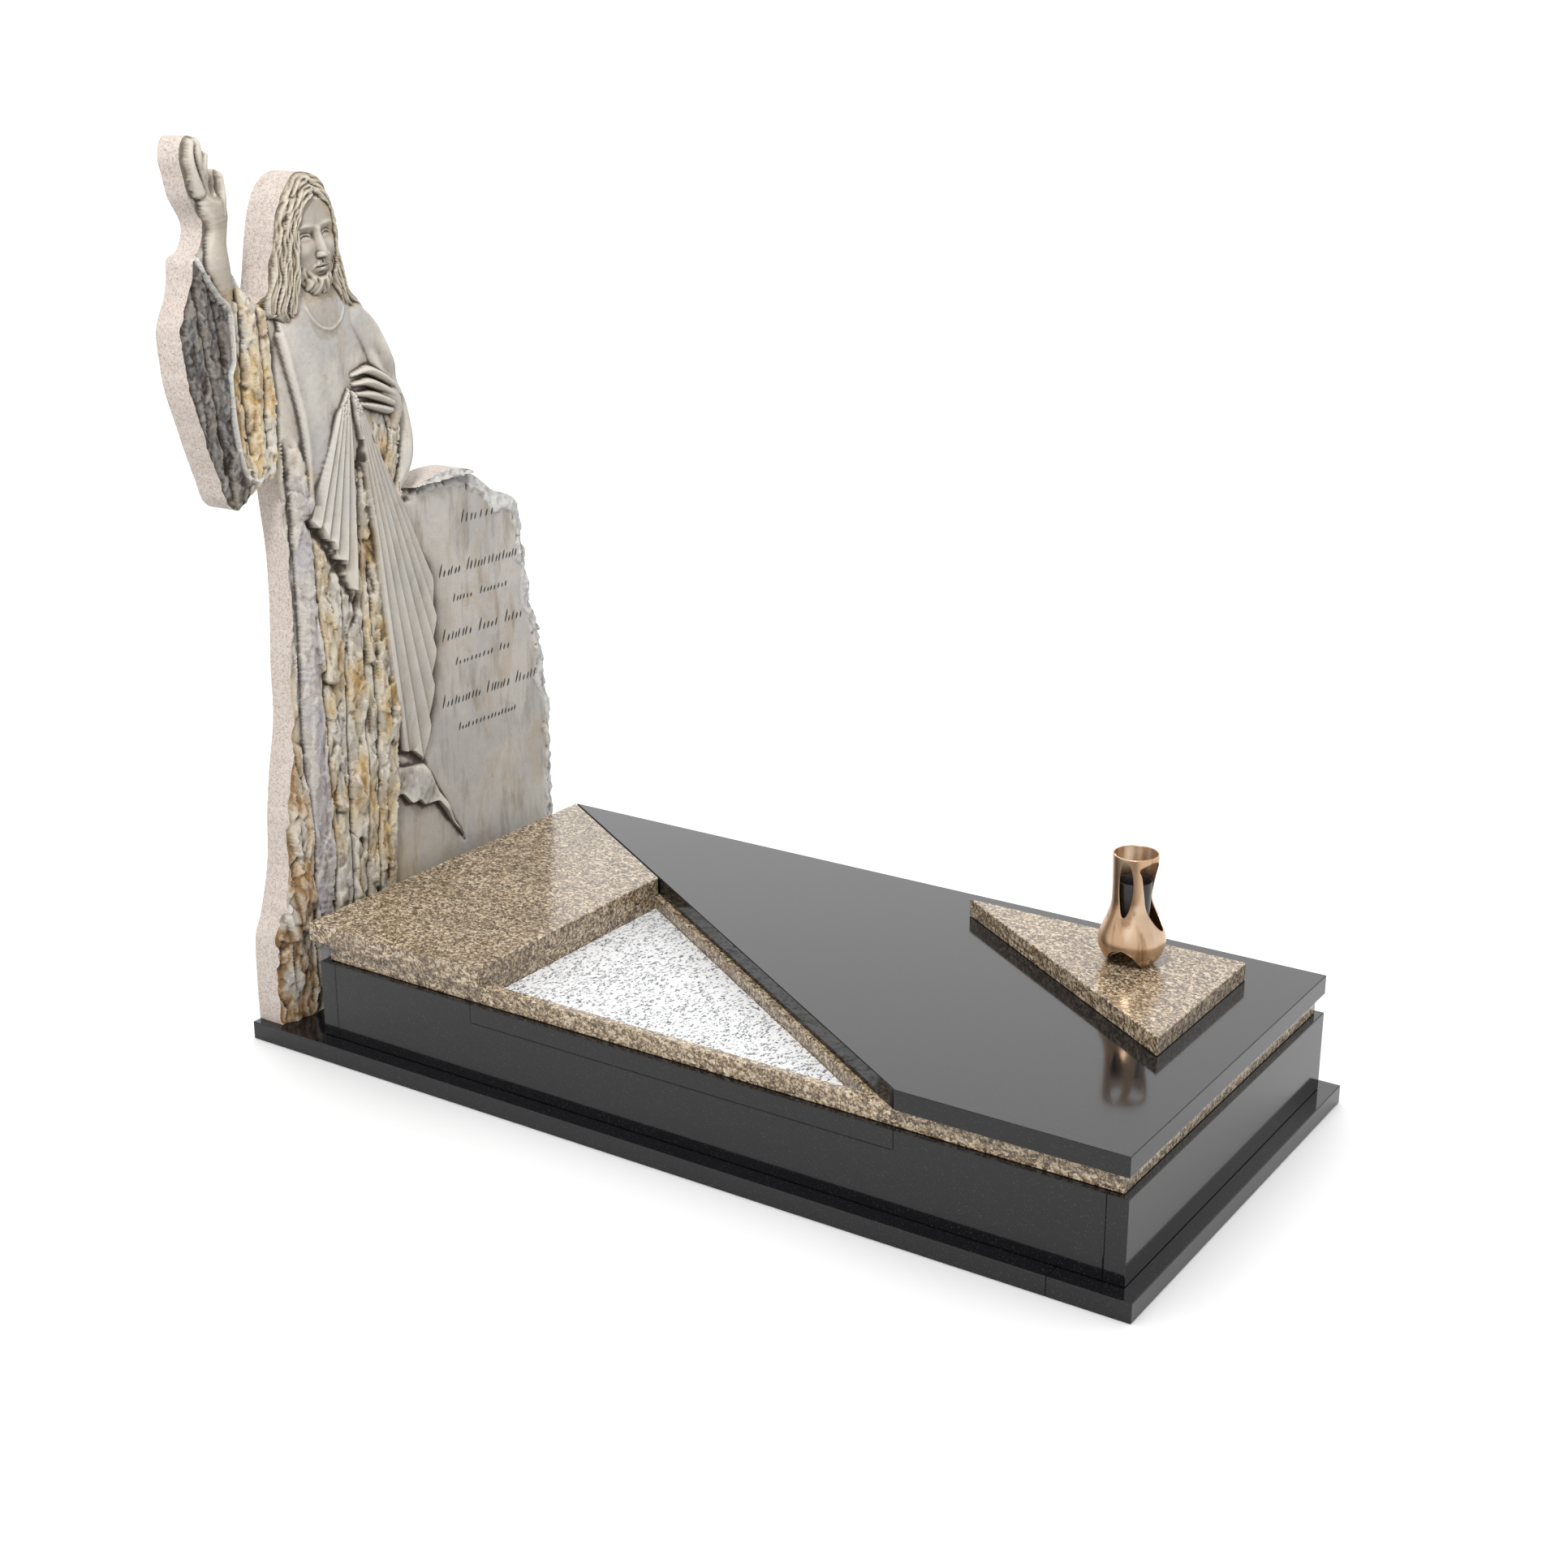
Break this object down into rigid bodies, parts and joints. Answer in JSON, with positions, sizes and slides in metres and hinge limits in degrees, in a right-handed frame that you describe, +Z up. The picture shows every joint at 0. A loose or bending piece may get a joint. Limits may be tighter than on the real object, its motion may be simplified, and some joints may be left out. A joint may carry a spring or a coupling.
{
  "type": "grave monument with a carved headstone",
  "caption": "Carved relief headstone with a tablet, standing on a polished granite grave surround with a covering slab, a recessed panel, a raised shelf and a vase.",
  "frame": {"origin": "on the ground, on the centre line of the grave, under the middle of the headstone's thickness", "axes": "-Y is the side that the carved front and the tablet face and points to the grave's foot, +X is to the right of someone who faces the tablet, +Z is up"},
  "size_m": [1.1046, 2.092, 1.9023],
  "materials": {
    "carved_stone": "matte",
    "black_granite": "polished",
    "brown_granite": "gloss",
    "white_granite": "satin",
    "polished_bronze": "polished",
    "dark_liner": "satin"
  },
  "bodies": {
    "root": {"headstone": "carved_stone", "plinth_foot": "black_granite", "plinth_left": "black_granite", "plinth_right": "black_granite", "plinth_head": "black_granite", "kerb_foot": "black_granite", "kerb_head": "black_granite", "kerb_left": "black_granite", "kerb_right": "black_granite", "recess_floor": "black_granite", "cover_slab": "black_granite", "ledge_slab": "brown_granite", "head_slab": "brown_granite", "shelf": "brown_granite", "white_panel": "white_granite", "vase_shell": "polished_bronze", "vase_liner": "dark_liner"}
  },
  "joints": []
}
